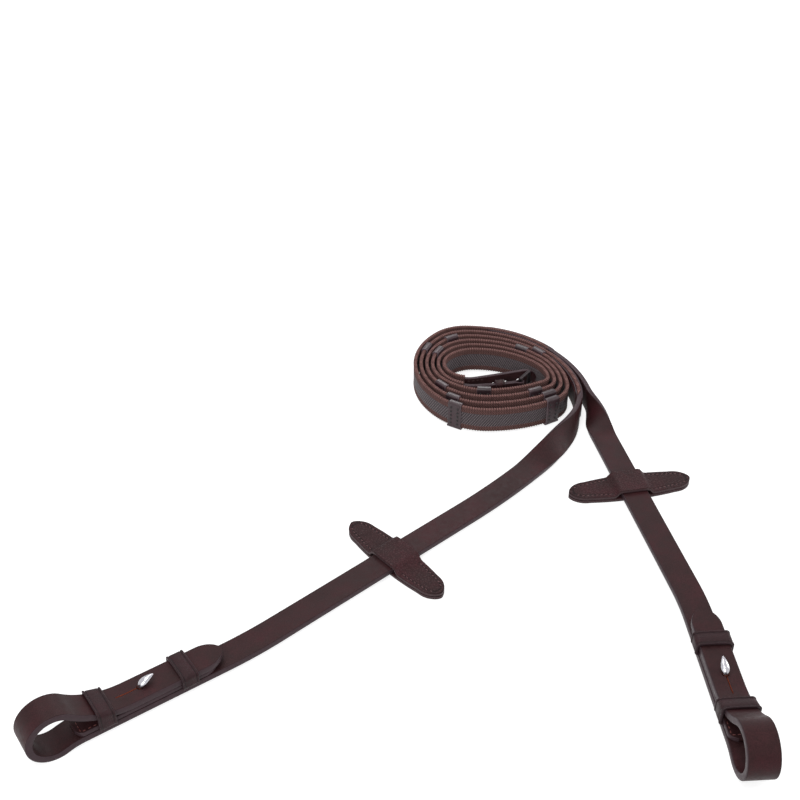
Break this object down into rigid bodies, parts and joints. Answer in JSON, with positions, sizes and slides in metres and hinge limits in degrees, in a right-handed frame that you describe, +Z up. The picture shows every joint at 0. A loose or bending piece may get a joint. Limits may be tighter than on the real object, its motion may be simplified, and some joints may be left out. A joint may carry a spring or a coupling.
{
  "type": "leather reins",
  "caption": "Bridle reins in leather with hook-stud bit ends, sliding rein stops and rubber-grip webbing hand parts wound into a coil.",
  "frame": {"origin": "on the floor under the middle of the layout", "axes": "+Z up, +Y from the bit ends towards the coil, +X to the right as seen from the bit ends"},
  "size_m": [0.361, 0.3759, 0.0285],
  "materials": {
    "strap_leather": "satin",
    "band_leather": "satin",
    "grip_webbing": "matte",
    "polished_steel": "polished"
  },
  "bodies": {
    "reins": {"left_eye_keeper": "strap_leather", "left_grip_web": "grip_webbing", "left_hand_billet": "strap_leather", "left_hand_stop_1": "band_leather", "left_hand_stop_2": "band_leather", "left_hand_stop_3": "band_leather", "left_hand_stop_4": "band_leather", "left_hand_stop_5": "band_leather", "left_hand_stop_6": "band_leather", "left_hook_stud": "polished_steel", "left_rein_strap": "strap_leather", "left_splice_facing": "strap_leather", "left_stud_rivet": "polished_steel", "left_stud_strap": "strap_leather", "left_tip_keeper": "strap_leather", "right_chape": "strap_leather", "right_eye_keeper": "strap_leather", "right_grip_web": "grip_webbing", "right_hand_keeper": "strap_leather", "right_hand_stop_1": "band_leather", "right_hand_stop_2": "band_leather", "right_hand_stop_3": "band_leather", "right_hand_stop_4": "band_leather", "right_hand_stop_5": "band_leather", "right_hand_stop_6": "band_leather", "right_hook_stud": "polished_steel", "right_rein_strap": "strap_leather", "right_splice_facing": "strap_leather", "right_stud_rivet": "polished_steel", "right_stud_strap": "strap_leather", "right_tip_keeper": "strap_leather"},
    "left_stop": {"left_stop_top_ply": "strap_leather", "left_stop_bottom_ply": "strap_leather"},
    "right_stop": {"right_stop_top_ply": "strap_leather", "right_stop_bottom_ply": "strap_leather"},
    "buckle_frame": {"buckle_frame": "polished_steel"},
    "buckle_tongue": {"buckle_tongue": "polished_steel"}
  },
  "joints": [
    {"name": "left_stop_slide", "type": "slide", "parent": "reins", "child": "left_stop", "axis": [0.749, 0.6626, 0], "range_m": [-0.07, 0.04]},
    {"name": "right_stop_slide", "type": "slide", "parent": "reins", "child": "right_stop", "axis": [-0.1908, 0.9816, 0], "range_m": [-0.07, 0.025]},
    {"name": "buckle_frame_hinge", "type": "hinge", "parent": "reins", "child": "buckle_frame", "pos_m": [0.0826, 0.1215, 0.01], "axis": [0, 0, 1], "range_deg": [-30, 5]},
    {"name": "buckle_tongue_hinge", "type": "hinge", "parent": "buckle_frame", "child": "buckle_tongue", "pos_m": [0.0826, 0.1215, 0.01], "axis": [0, 0, 1], "range_deg": [-20, 0]}
  ]
}
